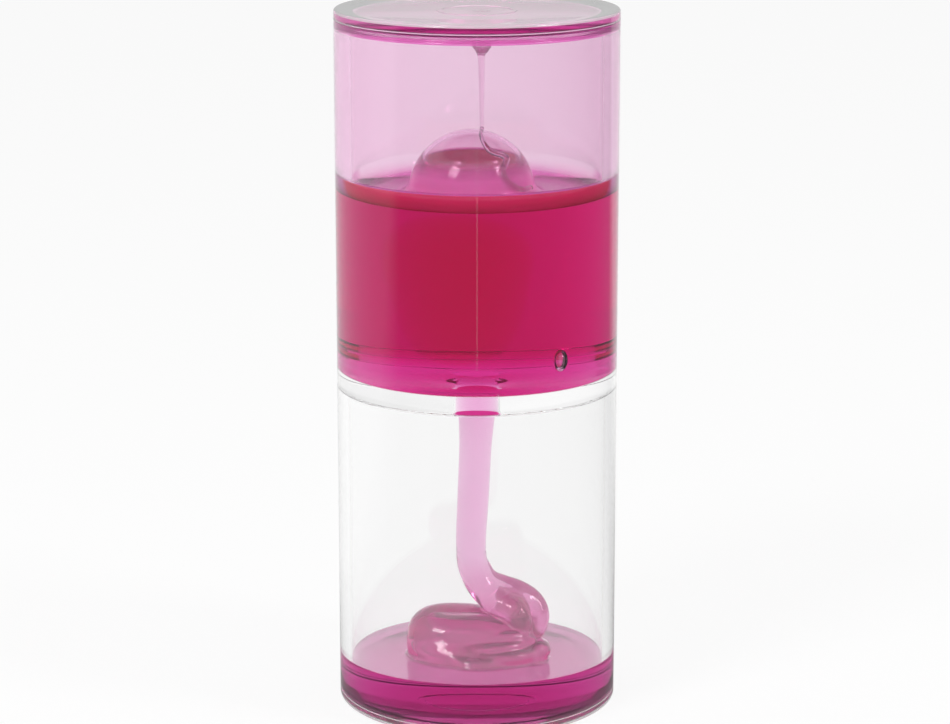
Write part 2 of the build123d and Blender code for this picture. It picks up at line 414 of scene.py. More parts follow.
def new_piece(name, vertices, faces, materials, numbers, angle=35):
    """Mesh object from points in millimetres, smooth except at its sharp edges. The numbers are
    the faces' materials or, where there is one material, their kinds of contact."""
    mesh = bpy.data.meshes.new(name)
    mesh.from_pydata([tuple(point) for point in np.asarray(vertices, float) * MM], [], faces)
    for material in materials:
        mesh.materials.append(material)
    if len(materials) > 1:
        mesh.polygons.foreach_set("material_index", np.asarray(numbers, np.int32))
    else:
        contact = mesh.attributes.new(CONTACT, "FLOAT", "FACE")
        contact.data.foreach_set("value", np.asarray(numbers, np.float32))
    mesh.shade_smooth()
    mesh.set_sharp_from_angle(angle=radians(angle))
    piece = bpy.data.objects.new(name, mesh)
    bpy.context.scene.collection.objects.link(piece)
    return piece


def rings(outline, centre=(0.0, 0.0), around=AROUND, lean=None):
    """Rings of points round a vertical axis, from an outline whose entries are radius, height and
    the number of the band that follows. A ring on the axis is one pole. lean moves points up."""
    rows = []
    for radius, height, number in outline:
        steps = around if radius > 0 else 1
        row = []
        for step in range(steps):
            turn = 2 * pi * step / around
            x = centre[0] + radius * cos(turn)
            y = centre[1] + radius * sin(turn)
            row.append((x, y, lean(x, y, height) if lean else height))
        rows.append((row, number))
    return rows


def skin(rows, air=False):
    """Closed shell through rings of points: its points, its faces and their numbers. The shell of
    a body faces outwards, and that of air inside a body faces the air."""
    vertices = []
    starts = []
    for row, _ in rows:
        starts.append(len(vertices))
        vertices.extend(row)
    around = max(len(row) for row, _ in rows)
    faces = []
    numbers = []
    for index, (row, number) in enumerate(rows):
        other = (index + 1) % len(rows)
        if len(row) == 1 and len(rows[other][0]) == 1:
            continue
        for step in range(around):
            after = (step + 1) % around
            corners = []
            for ring, place in ((index, step), (index, after), (other, after), (other, step)):
                corners.append(starts[ring] + place % len(rows[ring][0]))
            faces.append(list(dict.fromkeys(corners)))
            numbers.append(number)
    points = np.array(vertices)
    middle = points.mean(axis=0)
    volume = 0.0
    for face in faces:
        a, b, c, d = (points[face[place]] - middle for place in (0, 1, 2, -1))
        volume += a @ np.cross(b, c) + a @ np.cross(c, d)
    if (volume < 0) != air:
        faces = [face[::-1] for face in faces]
    return vertices, faces, numbers


def shells(*parts):
    """Several shells as one: points, faces and numbers."""
    vertices = []
    faces = []
    numbers = []
    for points, corners, kinds in parts:
        start = len(vertices)
        vertices += list(points)
        faces += [[start + corner for corner in face] for face in corners]
        numbers += list(kinds)
    return vertices, faces, numbers


def piece_from(name, shell, materials):
    """Mesh object from a shell."""
    vertices, faces, numbers = shell
    return new_piece(name, vertices, faces, materials, numbers)


def lathe(name, outline, materials, centre=(0.0, 0.0), around=AROUND, lean=None):
    """Closed solid of revolution from an outline, as rings takes it."""
    return piece_from(name, skin(rings(outline, centre, around, lean)), materials)


def arc(centre_r, centre_z, radius, start, end, steps, number=0):
    """Points of an arc in an outline, angles in degrees from +R towards +Z."""
    points = []
    for step in range(steps + 1):
        angle = radians(start + (end - start) * step / steps)
        points.append((centre_r + radius * cos(angle), centre_z + radius * sin(angle), number))
    return points


def turned_over(outline):
    """The same outline at the other end of the body."""
    return [(radius, BODY_TOP - height, number) for radius, height, number in outline]


def smooth_route(points, count):
    """Points on a smooth curve through the given ones. Each row may carry more values."""
    points = np.asarray(points, float)
    padded = np.vstack([2 * points[0] - points[1], points, 2 * points[-1] - points[-2]])
    route = []
    for place in np.linspace(0, len(points) - 1, count):
        index = min(int(place), len(points) - 2)
        t = place - index
        before, start, end, after = padded[index : index + 4]
        route.append(
            start
            + 0.5 * t * (end - before)
            + t * t * (before - 2.5 * start + 2 * end - 0.5 * after)
            + t * t * t * 0.5 * (3 * start - before - 3 * end + after)
        )
    return np.array(route)


def tube_along(name, route, materials, around=32, ends=(NOT_SET, NOT_SET), kind=FREE):
    """Closed round tube along a route whose rows are x, y, z and radius."""
    centres = route[:, :3]
    ahead = np.gradient(centres, axis=0)
    ahead /= np.linalg.norm(ahead, axis=1)[:, None]
    side = np.cross(ahead[0], (0.0, 1.0, 0.0))
    side /= np.linalg.norm(side)
    rows = [([tuple(centres[0])], ends[0])]
    for centre, direction, radius in zip(centres, ahead, route[:, 3]):
        side = side - direction * (side @ direction)
        side /= np.linalg.norm(side)
        other = np.cross(direction, side)
        row = []
        for step in range(around):
            turn = 2 * pi * step / around
            row.append(tuple(centre + radius * (cos(turn) * side + sin(turn) * other)))
        rows.append((row, kind))
    rows[-1] = (rows[-1][0], ends[1])
    rows.append(([tuple(centres[-1])], FREE))
    return piece_from(name, skin(rows), materials)


def melt(first, second, fillet):
    """Union of two distance fields with a fillet."""
    blend = np.maximum(fillet - np.abs(first - second), 0.0) / fillet
    return np.minimum(first, second) - blend * blend * fillet / 4


def egg(p, centre, sizes):
    """Rough distance to an ellipsoid."""
    scaled = np.sqrt(sum(((p[i] - centre[i]) / sizes[i]) ** 2 for i in range(3)))
    return (scaled - 1) * min(sizes)


def rope(p, route):
    """Distance to a round rope along a route whose rows are x, y, z and radius."""
    least = np.full(p[0].shape, np.inf)
    for start, end in zip(route, route[1:]):
        along = end[:3] - start[:3]
        t = sum((p[i] - start[i]) * along[i] for i in range(3)) / (along @ along)
        t = np.clip(t, 0.0, 1.0)
        gap = np.sqrt(sum((p[i] - start[i] - t * along[i]) ** 2 for i in range(3)))
        least = np.minimum(least, gap - start[3] - t * (end[3] - start[3]))
    return least


# Passes that fill corners, and the value of a filled one
SHEET_PASSES = 4
JUST_INSIDE = -0.01

# Passes that pull points onto the surface. Shares of a cell over which a point feels the slope and
# that it may move, and the least slope, squared, that it follows.
PULL_PASSES = 3
FEEL_REACH = 0.1
PULL_REACH = 0.5
LEAST_SLOPE = 0.05


def part_sheets(values):
    """Fills grid corners until no face of a cell has just two opposite corners inside, where two
    sheets of the surface would meet in one edge."""
    for _ in range(SHEET_PASSES):
        for first, second in ((0, 1), (0, 2), (1, 2)):
            corners = {}
            for i in (0, 1):
                for j in (0, 1):
                    part = [slice(None)] * 3
                    part[first] = slice(i, values.shape[first] - 1 + i)
                    part[second] = slice(j, values.shape[second] - 1 + j)
                    corners[i, j] = values[tuple(part)]
            inside = {key: part < 0 for key, part in corners.items()}
            opposite = (inside[0, 0] == inside[1, 1]) & (inside[0, 1] == inside[1, 0])
            mixed = opposite & (inside[0, 0] != inside[0, 1])
            for part in corners.values():
                part[mixed] = np.minimum(part[mixed], JUST_INSIDE)


def shrink_wrap(name, field, low, high, step, materials, choose, settle):
    """Closed mesh of the surface where a distance field is zero, inside a box, in even cells.
    settle moves points onto sharp edges, and choose gives each face its number."""
    axes = [np.arange(low[i], high[i] + step, step) for i in range(3)]
    values = np.empty([len(axis) for axis in axes])
    for layer, height in enumerate(axes[2]):
        x, y = np.meshgrid(axes[0], axes[1], indexing="ij")
        values[:, :, layer] = field((x, y, np.full_like(x, height)))
    part_sheets(values)
    shape = tuple(len(axis) - 1 for axis in axes)
    total = np.zeros(shape + (3,))
    count = np.zeros(shape)
    crossings = []
    for axis in range(3):
        near = [slice(None)] * 3
        far = [slice(None)] * 3
        near[axis] = slice(0, -1)
        far[axis] = slice(1, None)
        first = values[tuple(near)]
        second = values[tuple(far)]
        place = np.argwhere((first < 0) != (second < 0))
        a = first[tuple(place.T)]
        b = second[tuple(place.T)]
        point = np.stack([axes[i][place[:, i]] for i in range(3)], axis=1)
        point[:, axis] += step * a / (a - b)
        others = [i for i in range(3) if i != axis]
        outwards = (a < 0) != (axis == 1)
        cells = []
        for shift in ((0, 0), (1, 0), (1, 1), (0, 1)):
            cell = place.copy()
            cell[:, others[0]] -= shift[0]
            cell[:, others[1]] -= shift[1]
            cells.append(cell)
            np.add.at(total, tuple(cell.T), point)
            np.add.at(count, tuple(cell.T), 1)
        crossings.append((cells, outwards))
    used = count > 0
    number = np.full(shape, -1)
    number[used] = np.arange(used.sum())
    points = total[used] / count[used][:, None]
    for _ in range(PULL_PASSES):
        here = field(tuple(points.T))
        slope = np.empty_like(points)
        for axis in range(3):
            shift = np.zeros(3)
            shift[axis] = step * FEEL_REACH
            ahead = field(tuple((points + shift).T))
            behind = field(tuple((points - shift).T))
            slope[:, axis] = (ahead - behind) / (2 * shift[axis])
        size = np.maximum((slope**2).sum(axis=1), LEAST_SLOPE)
        move = -(here / size)[:, None] * slope
        points += np.clip(move, -step * PULL_REACH, step * PULL_REACH)
    points = settle(points)
    faces = []
    for cells, outwards in crossings:
        quads = np.stack([number[tuple(cell.T)] for cell in cells], axis=1)
        faces.append(np.where(outwards[:, None], quads, quads[:, ::-1]))
    faces = np.vstack(faces)
    numbers = choose(points[faces].mean(axis=1))
    return new_piece(name, points, faces.tolist(), materials, numbers, angle=60)


def share(value):
    """Value held between 0 and 1."""
    return min(max(value, 0.0), 1.0)


def stand_for(piece, body, slot, *nodes):
    """Ride on a body, and replace the named nodes. The slot is not used."""
    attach(piece, body)
    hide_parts(*nodes)
    return piece


def pool_height(y):
    """Height of the lower pool's leaning surface."""
    return LOWER_LEVEL - y * tan(LEAN)


def wet_line(x, y, height):
    """Moves the foot of the dry lining to the pool's edge."""
    return pool_height(y) if height == LOWER_LEVEL else height


# Kinds of face of a clear or translucent piece, as places in its list of materials: open to the
# air, joined to another piece or the liquid, dulled, and marked by the mould
OPEN = 0
JOINED = 1
DULLED = 2
MARKED = 3

# Lower tube, and the dry inside of it, whose foot follows the pool
lower_tube = lathe(
    "lower_tube_clear",
    [
        (BODY_R - SEAM_GROOVE, BASE_TOP, DULLED),
        (BODY_R, BASE_TOP + SEAM_GROOVE, OPEN),
        (BODY_R, PLATE_BOTTOM - SEAM_GROOVE, DULLED),
        (BODY_R - SEAM_GROOVE, PLATE_BOTTOM, JOINED),
        (BORE_R, PLATE_BOTTOM, JOINED),
        (BORE_R, BASE_TOP, JOINED),
    ],
    [clear, bonded, dulled_end],
)
stand_for(lower_tube, "vessel", "clear_shell", "lower_tube")
lining = lathe(
    "lower_tube_lining",
    [
        (LIQUID_R, LOWER_LEVEL, JOINED),
        (LIQUID_R, PLATE_BOTTOM - HAIR, JOINED),
        (BORE_R - LINING, PLATE_BOTTOM - HAIR, OPEN),
        (BORE_R - LINING, LOWER_LEVEL, JOINED),
    ],
    [clear, bonded],
    lean=wet_line,
)
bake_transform(lining)

# Upper tube, with liquid on all of its inside
upper_tube = lathe(
    "upper_tube_clear",
    [
        (BODY_R - SEAM_GROOVE, PLATE_TOP, DULLED),
        (BODY_R, PLATE_TOP + SEAM_GROOVE, MARKED),
        (BODY_R, LID_BOTTOM - LID_GROOVE, DULLED),
        (BODY_R - LID_GROOVE, LID_BOTTOM, JOINED),
        (BORE_R, LID_BOTTOM, JOINED),
        (BORE_R, PLATE_TOP, JOINED),
    ],
    [clear, bonded, dulled_end, marked],
)
stand_for(upper_tube, "vessel", "clear_shell", "upper_tube")

# Film on the upper tube's wall, and the part of it that a falling level leaves behind
wall_film = lathe(
    "wall_film_clear",
    [
        (LIQUID_R, RESIDUE_EDGE - HAIR, BONDED),
        (FILM_R, RESIDUE_EDGE - HAIR, FREE),
        (FILM_R, RIM_TOP + HAIR, BONDED),
        (LIQUID_R, RIM_TOP + HAIR, BONDED),
    ],
    [film],
)
stand_for(wall_film, "vessel", "liquid_film", "wall_film")
new_film = lathe(
    "wall_film_below",
    [
        (LIQUID_R, RIM_TOP, BONDED),
        (FILM_R + HAIR, RIM_TOP, FREE),
        (FILM_R + HAIR, RIM_TOP - HAIR, BONDED),
        (LIQUID_R, RIM_TOP - HAIR, BONDED),
    ],
    [film],
)
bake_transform(new_film)


def cap_outline():
    """Half outline of the top cap, from the middle of the recess round to its underside."""
    floor = BODY_TOP - RECESS_DEPTH
    return [
        (0.0, floor, DULLED),
        (RING_R - RING_WIDTH, floor, DULLED),
        (RING_R - RING_WIDTH + RING_SLOPE, floor + RING_HEIGHT, DULLED),
        (RING_R - RING_SLOPE, floor + RING_HEIGHT, DULLED),
        (RING_R, floor, DULLED),
        (RECESS_FLOOR_R, floor, DULLED),
        (RECESS_MOUTH_R, BODY_TOP, DULLED),
        *arc(BODY_R - RIM_ROUND, BODY_TOP - RIM_ROUND, RIM_ROUND, 90, 0, 6, DULLED)[:-1],
        (BODY_R, BODY_TOP - RIM_ROUND, OPEN),
        (BODY_R, LID_BOTTOM + LID_GROOVE, DULLED),
        (BODY_R - LID_GROOVE, LID_BOTTOM, JOINED),
        (0.0, LID_BOTTOM, JOINED),
    ]


top_cap = lathe("top_cap_clear", cap_outline(), [clear, bonded, dulled_end])
stand_for(top_cap, "vessel", "clear_shell", "top_cap")
bottom_cap = lathe("bottom_cap_clear", turned_over(cap_outline()), [clear, bonded, dulled_end])
stand_for(bottom_cap, "vessel", "clear_shell", "bottom_cap")

# Divider with its rounded flow hole, wet above, in the hole and under the stream's mouth
divider = lathe(
    "divider_clear",
    [
        (STREAM_MOUTH_R, PLATE_BOTTOM, OPEN),
        (BORE_R, PLATE_BOTTOM, JOINED),
        (BODY_R - SEAM_GROOVE, PLATE_BOTTOM, DULLED),
        (BODY_R, PLATE_BOTTOM + SEAM_GROOVE, OPEN),
        (BODY_R, PLATE_TOP - SEAM_GROOVE, DULLED),
        (BODY_R - SEAM_GROOVE, PLATE_TOP, JOINED),
        *arc(FLOW_MOUTH_R, PLATE_TOP - FLOW_ROUND, FLOW_ROUND, 90, 180, 5, JOINED),
        *arc(FLOW_MOUTH_R, PLATE_BOTTOM + FLOW_ROUND, FLOW_ROUND, 180, 270, 5, JOINED),
    ],
    [plate, plate_wet, dulled_end],
)
stand_for(divider, "vessel", "clear_divider", "divider_plate")


# Cement in the four inner corners
def cement_ring(name, corner, rise, look):
    """Bead of cement in the corner at a height, rising or hanging."""
    return lathe(
        name,
        [
            (LIQUID_R, corner + rise * HAIR, JOINED),
            (BORE_R - CEMENT, corner + rise * HAIR, OPEN),
            (BORE_R - CEMENT * CEMENT_HOLLOW, corner + rise * CEMENT * CEMENT_HOLLOW, OPEN),
            (LIQUID_R, corner + rise * CEMENT, JOINED),
        ],
        [look, bonded],
    )


for name, corner, rise, look in (
    ("top_cap_cement", LID_BOTTOM, -1, sunk_cement),
    ("upper_divider_cement", PLATE_TOP, 1, sunk_cement),
    ("lower_divider_cement", PLATE_BOTTOM, -1, cement),
    ("bottom_cap_cement", BASE_TOP, 1, sunk_cement),
):
    stand_for(cement_ring(name + "_bead", corner, rise, look), "vessel", "cement", name)

# Liquid under the lid
curve = RESIDUE_SKIN - RESIDUE_EDGE
residue = lathe(
    "residue_under_lid",
    [
        (0.0, RESIDUE_SKIN, POOL),
        *arc(FILM_R - curve, RESIDUE_EDGE, curve, 90, 0, 8, POOL),
        (FILM_R, RESIDUE_EDGE, BONDED),
        (LIQUID_R, RESIDUE_EDGE, BONDED),
        (LIQUID_R, LID_BOTTOM - HAIR, BONDED),
        (0.0, LID_BOTTOM - HAIR, BONDED),
    ],
    [liquid],
)
stand_for(residue, "vessel", "dyed_liquid", "lid_residue")

# Stopper: bonded in the cap and the liquid under it, free below
plug_outline = [
    (0.0, PLUG_TOP + HAIR, OPEN),
    (PLUG_R, PLUG_TOP + HAIR, JOINED),
    (PLUG_R, RESIDUE_SKIN, OPEN),
    (PLUG_R, PLUG_FOOT + PLUG_TAPER, OPEN),
    *arc(PLUG_TIP_R - PLUG_TIP_ROUND, PLUG_FOOT + PLUG_TIP_ROUND, PLUG_TIP_ROUND, 0, -90, 4, OPEN),
    (0.0, PLUG_FOOT, OPEN),
]
top_plug = lathe(
    "top_stopper",
    plug_outline,
    [stopper, stopper_bonded],
    centre=(PLUG_X, 0),
    around=64,
)
stand_for(top_plug, "vessel", "stopper", "top_filler_plug")


# Upper pool with its climbing rim, the bubble's dome and the liquid in the flow hole
def dome_rings():
    """Rings over the large bubble, from the level surface up to the crown."""
    turn = degrees(atan2(DOME_FLARE, flare_reach()))
    outline = arc(flare_reach(), UPPER_LEVEL + DOME_FLARE, DOME_FLARE, -90, turn - 180, 12)
    outline += arc(0.0, UPPER_LEVEL, DOME_R, turn, 90, 48)[1:]
    outline[-1] = (0.0, UPPER_LEVEL + DOME_R, FREE)
    return rings(outline, (DOME_X, 0.0))


def flare_reach():
    """Distance from the bubble's axis at which its flare starts."""
    return sqrt((DOME_R + DOME_FLARE) ** 2 - DOME_FLARE**2)


def air_rings():
    """Rings of the air in the large bubble: a ball with a flat floor and a round edge."""
    rise = AIR_FLOOR + AIR_ROUND
    core = DOME_R - DOME_SKIN - AIR_ROUND
    reach = sqrt(core**2 - rise**2)
    turn = degrees(atan2(rise, reach))
    outline = [(0.0, UPPER_LEVEL + AIR_FLOOR, BUBBLE_FLOOR)]
    outline += arc(reach, UPPER_LEVEL + rise, AIR_ROUND, -90, turn, 24)
    outline += arc(0.0, UPPER_LEVEL, DOME_R - DOME_SKIN, turn, 90, 36)[1:]
    outline[-1] = (0.0, UPPER_LEVEL + DOME_R - DOME_SKIN, FREE)
    return rings(outline, (DOME_X, 0.0))


def small_air_rings():
    """Rings of the small bubble beside the wall."""
    half_width, half_height = BUBBLE_SIZE
    steps = 24
    outline = []
    for step in range(steps + 1):
        turn = pi * (step / steps - 0.5)
        radius = half_width * cos(turn) if 0 < step < steps else 0.0
        outline.append((radius, BUBBLE_HEIGHT + half_height * sin(turn), FREE))
    return rings(outline, BUBBLE_PLACE, 48)


def pool_rings():
    """Rings of the upper pool, from the flow hole's lower mouth round to the level surface."""
    level_r = FILM_R - MENISCUS
    outline = [
        (0.0, PLATE_BOTTOM, BONDED),
        *arc(FLOW_MOUTH_R, PLATE_BOTTOM + FLOW_ROUND, FLOW_ROUND + HAIR, 270, 180, 5, BONDED),
        *arc(FLOW_MOUTH_R, PLATE_TOP - FLOW_ROUND, FLOW_ROUND + HAIR, 180, 90, 5, BONDED),
        (LIQUID_R - CEMENT, PLATE_TOP + HAIR, BONDED),
        (LIQUID_R, PLATE_TOP + CEMENT, BONDED),
        (LIQUID_R, RIM_TOP, BONDED),
        *arc(level_r, RIM_TOP, MENISCUS, 0, -90, 16, EDGE)[:-1],
        (level_r, UPPER_LEVEL, LEVEL),
    ]
    return rings(outline)


def paint_bubble_light(shell):
    """Shell whose large bubble is clear at the crown, cloudy at the foot and redder on the far
    side. The cloud at the foot is a painted purple glow of light through the liquid, and the red
    on the far side is painted shade.
    """
    points, faces, kinds = shell
    points = np.array(points)
    clouded = []
    for face, kind in zip(faces, kinds):
        _, y, z = points[face].mean(axis=0)
        height = z - UPPER_LEVEL
        if kind == NOT_SET:
            behind = share(2 * y / DOME_R + DOME_TURN) * min(height / DOME_FLARE, 1.0)
            near_foot = share((DOME_CLEAR - height) / DOME_FADE)
            far_foot = share((DOME_CLEAR - height) / FAR_FADE)
            near_share = DOME_CROWN + (DOME_FOOT - DOME_CROWN) * near_foot
            far_share = DOME_CROWN + (DOME_BEHIND - DOME_CROWN) * far_foot
            kind = near_share + (far_share - near_share) * behind
        clouded.append(kind)
    return points, faces, clouded


def fade_edge(shell):
    """Shell whose climbing edge is clearer at the top and behind the object. Its crimson cloud in
    front is painted light, standing in for the light that the edge shows.
    """
    points, faces, kinds = shell
    points = np.array(points)
    faded = []
    for face, kind in zip(faces, kinds):
        _, y, z = points[face].mean(axis=0)
        if kind == EDGE:
            behind = share(2 * y / BORE_R + EDGE_TURN)
            below_top = (RIM_TOP - z) / MENISCUS
            front_share = FREE + (EDGE - FREE) * min(below_top / EDGE_FADE, 1.0)
            back_share = FREE + (LEVEL - FREE) * below_top**4
            kind = front_share + (back_share - front_share) * behind
        faded.append(kind)
    return points, faces, faded


upper_pool = piece_from(
    "upper_pool",
    shells(
        paint_bubble_light(fade_edge(skin(pool_rings() + dome_rings()))),
        paint_bubble_light(skin(air_rings(), True)),
        skin(small_air_rings(), True),
    ),
    [liquid],
)
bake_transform(upper_pool)
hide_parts("upper_liquid", "upper_surface", "surface_bubble", "orifice_liquid")

# Deeper dye that sinks from the bubble towards the flow hole. Its rows are x, y, z and radius.
core_rows = [
    (-2.2, 0.0, 75.6, 1.0),
    (-2.3, 0.0, 76.6, 3.8),
    (-2.4, 0.0, 78.6, 6.4),
    (-2.5, 0.0, 83.0, 8.4),
    (-2.6, 0.0, 90.0, 9.8),
    (-2.8, 0.0, 97.0, 10.9),
    (-2.8, 0.0, 102.0, 10.2),
    (-2.7, 0.0, 105.5, 7.8),
    (-2.6, 0.0, 107.3, 4.2),
    (-2.6, 0.0, 107.8, 1.0),
]
core = tube_along(
    "deep_dye",
    smooth_route(core_rows, 60),
    [core_liquid],
    around=96,
    ends=(BONDED, BONDED),
    kind=BONDED,
)
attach(core, "vessel")
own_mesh(core)

# Thread from the stopper, and its folded end on the dome
drip = smooth_route(
    [
        (PLUG_X - 0.1, 0, THREAD_TOP, 1.1),
        (PLUG_X - 0.1, 0, THREAD_TOP - 1.2, 0.75),
        (PLUG_X - 0.05, 0, THREAD_TOP - 6, 0.62),
        (PLUG_X, 0, THREAD_TOP - 12, 0.5),
        (PLUG_X, 0, THREAD_FOOT, 0.45),
    ],
    40,
)
drip_piece = tube_along("falling_thread", drip, [liquid])
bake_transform(drip_piece)
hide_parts("drip_thread")

# Points of the folded thread: direction from the bubble's centre, radius, and steps away from the
# bubble's skin
fold_points = [
    ((0.15, 0.00, 1.00), 0.45, 0),
    ((0.16, -0.40, 0.95), 0.5, 0),
    ((0.28, -0.62, 0.78), 0.6, 0),
    ((0.53, -0.60, 0.67), 0.7, 0),
    ((0.48, -0.78, 0.48), 0.6, 0),
    ((0.56, -0.82, 0.32), 0.6, 0),
    ((0.74, -0.70, 0.19), 0.55, 1),
    ((0.90, -0.49, 0.17), 0.5, 2),
]
dome_centre = Vector((DOME_X, 0.0, UPPER_LEVEL))
fold_rows = []
for direction, radius, steps in fold_points:
    reach = DOME_R + THREAD_LIFT + steps * FOLD_SPREAD
    fold_rows.append((*(dome_centre + Vector(direction).normalized() * reach), radius))
fold_piece = tube_along("thread_fold", smooth_route(fold_rows, 90), [liquid])
stand_for(fold_piece, "upper_level", "dyed_liquid", "folded_thread")

# Stream below the divider, in rows of x, y, z and radius
stream_rows = [
    (0.0, 0, PLATE_BOTTOM - HAIR, 4.5),
    (0.0, 0, 66.8, 4.3),
    (-0.05, 0, 63.7, 4.05),
    (-0.2, 0, 59.0, 3.7),
    (-0.4, 0, 54.4, 3.48),
    (-0.85, 0, 44.0, 3.42),
    (-1.28, 0, 36.0, 3.3),
    (-1.3, 0, STREAM_FOOT + HAIR, 3.25),
]
stream = tube_along(
    "stream",
    smooth_route(stream_rows, 120),
    [lower_dyed_liquid],
    around=128,
    ends=(BONDED, BONDED),
)
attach(stream, "vessel")
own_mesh(stream)
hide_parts("falling_stream")

# Lower pool, the heap of coiled liquid on it and the fold of the stream's foot. The rows of each
# rope are x, y, z and radius.
fold_route = smooth_route(
    [
        (-1.3, 0.0, STREAM_FOOT + 2, 3.25),
        (-1.15, 0.0, 30.0, 3.3),
        (-0.6, 0.0, 27.8, 3.35),
        (0.8, -0.9, 24.8, 3.3),
        (3.1, -2.4, 22.2, 3.1),
        (5.7, -4.0, 20.6, 3.05),
        (8.0, -5.4, 19.9, 3.05),
        (9.2, -6.6, 18.2, 2.7),
        (9.3, -6.8, 15.6, 2.4),
    ],
    60,
)
outer_fold = smooth_route(
    [
        (0.5, 0.2, 27.2, 2.4),
        (2.4, 0.5, 25.0, 2.5),
        (5.2, 0.6, 23.9, 2.35),
        (8.9, 0.3, 22.7, 2.35),
        (11.8, -0.5, 20.9, 2.45),
        (13.2, -1.6, 18.5, 2.5),
        (12.8, -3.2, 16.0, 2.5),
        (10.6, -4.6, 13.6, 2.4),
    ],
    50,
)
top_coil = smooth_route(
    [
        (9.0, -4.5, 13.0, 3.4),
        (5.5, -1.2, 14.0, 4.5),
        (-1.0, -0.4, 14.6, 5.0),
        (-6.5, -0.8, 14.8, 5.2),
        (-9.5, -2.7, 14.7, 5.3),
        (-9.2, -5.0, 14.3, 5.2),
        (-5.5, -6.6, 14.0, 5.1),
        (0.0, -7.0, 13.8, 4.9),
        (5.0, -6.8, 13.3, 4.5),
        (9.0, -7.0, 12.4, 3.5),
    ],
    70,
)
foot_coil = smooth_route(
    [
        (11.0, -3.4, 10.9, 3.0),
        (8.5, 2.8, 11.0, 3.2),
        (0.0, 5.0, 11.1, 3.3),
        (-8.5, 2.8, 11.1, 3.3),
        (-11.6, -3.4, 11.2, 3.3),
        (-9.0, -9.4, 11.2, 3.2),
        (-1.5, -12.0, 11.0, 3.1),
        (6.5, -10.8, 11.0, 3.1),
        (11.0, -6.0, 10.9, 3.0),
    ],
    70,
)
ridge = smooth_route(
    [
        (-7.5, -2.4, 16.9, 1.3),
        (-1.5, -2.2, 17.5, 1.3),
        (3.0, -2.8, 16.9, 1.3),
        (7.5, -4.0, 15.4, 1.3),
    ],
    24,
)
small_folds = [
    [
        (-5.0, -13.4, 11.4, 1.3),
        (-1.5, -15.2, 10.9, 1.5),
        (2.0, -15.2, 11.0, 1.4),
        (5.0, -14.4, 10.8, 1.2),
    ],
    [
        (-1.5, -11.9, 13.0, 1.3),
        (3.3, -12.7, 13.2, 1.6),
        (7.6, -11.4, 13.5, 1.6),
        (10.2, -9.0, 13.9, 1.5),
    ],
    [
        (1.0, -14.0, 11.8, 1.3),
        (6.1, -14.0, 11.8, 1.6),
        (10.3, -12.0, 11.9, 1.6),
        (12.2, -9.8, 12.2, 1.4),
    ],
    [
        (2.5, -10.2, 14.8, 1.3),
        (6.5, -10.2, 15.2, 1.5),
        (9.5, -9.2, 15.0, 1.4),
        (11.5, -8.4, 14.0, 1.3),
    ],
    [
        (11.8, -10.8, 11.2, 2.0),
        (13.4, -9.2, 12.2, 2.2),
        (13.7, -6.8, 12.0, 2.1),
    ],
]
small_routes = [smooth_route(points, 14) for points in small_folds]


def heap_field(p):
    """Distance to the heap of coils and the fold on it."""
    filling = egg(p, centre=(-1.0, -3.6, 12.5), sizes=(11.0, 7.5, 6.2))
    heap = melt(filling, rope(p, top_coil), fillet=2.5)
    heap = melt(heap, rope(p, foot_coil), fillet=2.0)
    heap = melt(heap, rope(p, ridge), fillet=1.0)
    for route in small_routes:
        heap = melt(heap, rope(p, route), fillet=0.5)
    fold = melt(rope(p, fold_route), rope(p, outer_fold), fillet=1.4)
    web = egg(p, centre=(7.6, -2.2, 20.3), sizes=(4.6, 2.8, 3.6))
    fold = melt(fold, web, fillet=1.4)
    return melt(heap, fold, fillet=0.9)


def lower_field(p):
    """Distance to the surface of the lower liquid."""
    x, y, z = p
    away = np.hypot(x, y)
    pool = (z - pool_height(y)) * cos(LEAN)
    near = (away < HEAP_REACH) & (z > HEAP_FOOT)
    heap = np.full(x.shape, FAR_AWAY)
    if near.any():
        heap[near] = heap_field((x[near], y[near], z[near]))
    pool = melt(pool, heap, fillet=1.5)
    pool = np.maximum(np.maximum(pool, z - STREAM_FOOT), away - LIQUID_R)
    pool = np.maximum(pool, (away - LIQUID_R + CEMENT + BASE_TOP + HAIR - z) / sqrt(2))
    return np.maximum(pool, BASE_TOP + HAIR - z)


def lower_edges(points):
    """Points moved onto the pool's edge at the wall and the edge at the foot of the stream."""
    x, y, z = points.T
    away = np.hypot(x, y)
    level = pool_height(y)
    edge = (abs(away - LIQUID_R) < EDGE_REACH) & (abs(z - level) < EDGE_REACH)
    x[edge] *= LIQUID_R / away[edge]
    y[edge] *= LIQUID_R / away[edge]
    z[edge] = pool_height(y[edge])
    foot_x, _, _, foot_r = stream_rows[-1]
    across = np.hypot(x - foot_x, y)
    edge = (abs(across - foot_r) < EDGE_REACH) & (abs(z - STREAM_FOOT) < EDGE_REACH)
    x[edge] = foot_x + (x[edge] - foot_x) * foot_r / across[edge]
    y[edge] *= foot_r / across[edge]
    z[edge] = STREAM_FOOT
    return np.stack([x, y, z], axis=1)


def lower_contacts(middle):
    """Kinds of contact: free surface, or face on the wall, on the cap or on the stream."""
    x, y, height = middle.T
    away = np.hypot(x, y)
    on_wall = away > LIQUID_R - WALL_NEAR
    in_corner = (height < BASE_TOP + CEMENT + GRID) & (away > LIQUID_R - CEMENT - GRID)
    on_cap = (height < BASE_TOP + CAP_NEAR) | in_corner
    under_stream = height > STREAM_FOOT - HAIR
    flat = height < pool_height(y) + LEVEL_NEAR
    # Cloud on the heap, partly haze and partly painted light, thins up the fold
    up_the_fold = np.clip((height - COIL_TOP) / (FOLD_FOOT - COIL_TOP), 0, 1)
    piled = COIL + (FREE - COIL) * up_the_fold
    return np.where(on_wall | on_cap | under_stream, BONDED, np.where(flat, POOL, piled))


